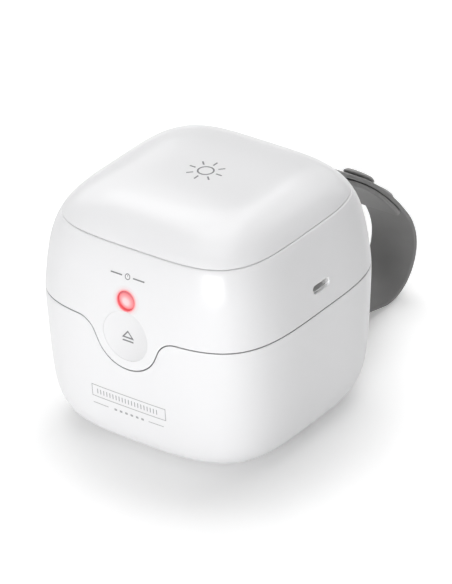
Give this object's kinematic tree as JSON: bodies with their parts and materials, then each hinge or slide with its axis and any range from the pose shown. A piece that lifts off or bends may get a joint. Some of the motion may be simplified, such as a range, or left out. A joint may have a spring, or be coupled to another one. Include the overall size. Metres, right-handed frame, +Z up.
{
  "type": "uv sanitizer box",
  "caption": "Rounded-cube UV-C sanitizer box with a hinged lid, a latch button, a lit start button, a charging socket and a hanging strap.",
  "frame": {"origin": "middle of the face that the box rests on", "axes": "+X to the right seen from the front, -Y to the front with both buttons, +Z up; the lid hinges at the back"},
  "size_m": [0.0796, 0.1284, 0.0762],
  "materials": {
    "white_shell": "smooth moulded white, semi-gloss",
    "button_white": "smooth moulded white, slightly more matt than the shell",
    "start_light": "translucent, lit red from behind",
    "strap_silicone": "matt dark grey silicone",
    "stud_plastic": "matt grey",
    "socket_metal": "folded sheet",
    "liner": "vacuum-metallised plastic",
    "inner_plastic": "fine moulded texture",
    "foot_rubber": "pale grey, matt",
    "seal_rubber": "pale grey, matt",
    "screw_steel": "plated",
    "keeper_steel": "stamped",
    "pin_steel": "ground",
    "spring_steel": "wire",
    "magnet": "nickel plated",
    "window_glass": "clear",
    "green_board": "solder resist",
    "led_package": "ceramic and resin",
    "battery_wrap": "shrink wrap",
    "tape_foam": "foam tape",
    "switch_black": "moulded"
  },
  "bodies": {
    "base": {"base_shell": "white_shell", "chamber_liner": "liner", "foot_pad": "foot_rubber", "base_screws": "screw_steel", "latch_keeper": "keeper_steel", "safety_magnet": "magnet", "hinge_pins": "pin_steel"},
    "lid": {"lid_shell": "white_shell", "top_cover": "white_shell", "lid_pan": "inner_plastic", "uv_window": "window_glass", "uv_board": "green_board", "uv_leds": "led_package", "lid_seal": "seal_rubber", "lid_screws": "screw_steel", "main_board": "green_board", "board_screws": "screw_steel", "battery": "battery_wrap", "battery_tape": "tape_foam", "usb_board": "green_board", "usb_socket": "socket_metal", "button_board": "green_board", "tact_switch": "switch_black", "indicator_leds": "led_package", "hall_sensor": "switch_black", "strap_bar": "pin_steel", "latch_spring": "spring_steel"},
    "latch_button": {"open_button": "button_white", "latch_slider": "inner_plastic"},
    "start_key": {"start_button": "start_light", "switch_plunger": "switch_black"},
    "hanging_strap": {"strap": "strap_silicone", "strap_studs": "stud_plastic"}
  },
  "joints": [
    {"name": "lid_hinge", "type": "hinge", "parent": "base", "child": "lid", "pos_m": [0, 0.04258, 0.0434], "axis": [-1, 0, 0], "range_deg": [0, 90]},
    {"name": "open_press", "type": "slide", "parent": "lid", "child": "latch_button", "axis": [0, 1, 0], "range_m": [0, 0.0016], "stiffness_N_per_m": 900, "deforming": ["latch_spring"]},
    {"name": "start_press", "type": "slide", "parent": "lid", "child": "start_key", "axis": [0, 1, 0], "range_m": [0, 0.0006], "stiffness_N_per_m": 1500},
    {"name": "strap_swing", "type": "hinge", "parent": "lid", "child": "hanging_strap", "pos_m": [0.004, 0.044, 0.055], "axis": [1, 0, 0], "range_deg": [0, 123]}
  ],
  "couplings": [
    {"joint": "strap_swing", "follows": "lid_hinge", "ratio": 1.36}
  ]
}
